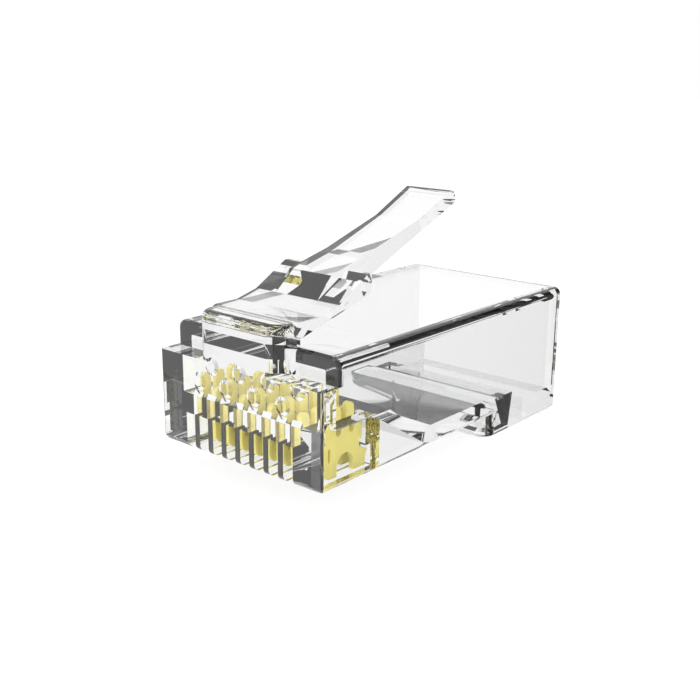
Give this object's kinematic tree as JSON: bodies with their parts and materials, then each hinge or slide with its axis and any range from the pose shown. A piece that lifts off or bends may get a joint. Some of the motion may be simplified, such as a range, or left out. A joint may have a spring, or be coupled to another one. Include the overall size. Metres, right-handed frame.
{
  "type": "modular plug",
  "caption": "Clear 8P8C modular plug for twisted-pair network cable, with a sprung latch, gold contacts and a strain relief bar in its floor.",
  "frame": {"origin": "middle of the plug's footprint, at the height of the base under the cable end", "axes": "-Y points into the jack, +Y towards the cable, +Z to the latch side, +X across the contacts from contact 1 to contact 8"},
  "size_m": [0.0116, 0.0226, 0.0143],
  "materials": {
    "clear_plastic": "clear, polished",
    "gold_contact": "bright gold plating"
  },
  "bodies": {
    "housing": {"housing": "clear_plastic"},
    "latch": {"latch": "clear_plastic"},
    "strain_relief_bar": {"strain_relief_bar": "clear_plastic"},
    "contact_1": {"contact_1": "gold_contact"},
    "contact_2": {"contact_2": "gold_contact"},
    "contact_3": {"contact_3": "gold_contact"},
    "contact_4": {"contact_4": "gold_contact"},
    "contact_5": {"contact_5": "gold_contact"},
    "contact_6": {"contact_6": "gold_contact"},
    "contact_7": {"contact_7": "gold_contact"},
    "contact_8": {"contact_8": "gold_contact"}
  },
  "joints": [
    {"name": "latch_hinge", "type": "hinge", "parent": "housing", "child": "latch", "pos_m": [0, -0.0097, 0.00883], "axis": [1, 0, 0], "range_deg": [-13, 0], "stiffness_Nm_per_rad": 0.3},
    {"name": "strain_relief_crimp", "type": "slide", "parent": "housing", "child": "strain_relief_bar", "axis": [0, 0, 1], "range_m": [0, 0.0014]},
    {"name": "contact_1_crimp", "type": "slide", "parent": "housing", "child": "contact_1", "axis": [0, 0, 1], "range_m": [-0.0007, 0]},
    {"name": "contact_2_crimp", "type": "slide", "parent": "housing", "child": "contact_2", "axis": [0, 0, 1], "range_m": [-0.0007, 0]},
    {"name": "contact_3_crimp", "type": "slide", "parent": "housing", "child": "contact_3", "axis": [0, 0, 1], "range_m": [-0.0007, 0]},
    {"name": "contact_4_crimp", "type": "slide", "parent": "housing", "child": "contact_4", "axis": [0, 0, 1], "range_m": [-0.0007, 0]},
    {"name": "contact_5_crimp", "type": "slide", "parent": "housing", "child": "contact_5", "axis": [0, 0, 1], "range_m": [-0.0007, 0]},
    {"name": "contact_6_crimp", "type": "slide", "parent": "housing", "child": "contact_6", "axis": [0, 0, 1], "range_m": [-0.0007, 0]},
    {"name": "contact_7_crimp", "type": "slide", "parent": "housing", "child": "contact_7", "axis": [0, 0, 1], "range_m": [-0.0007, 0]},
    {"name": "contact_8_crimp", "type": "slide", "parent": "housing", "child": "contact_8", "axis": [0, 0, 1], "range_m": [-0.0007, 0]}
  ]
}
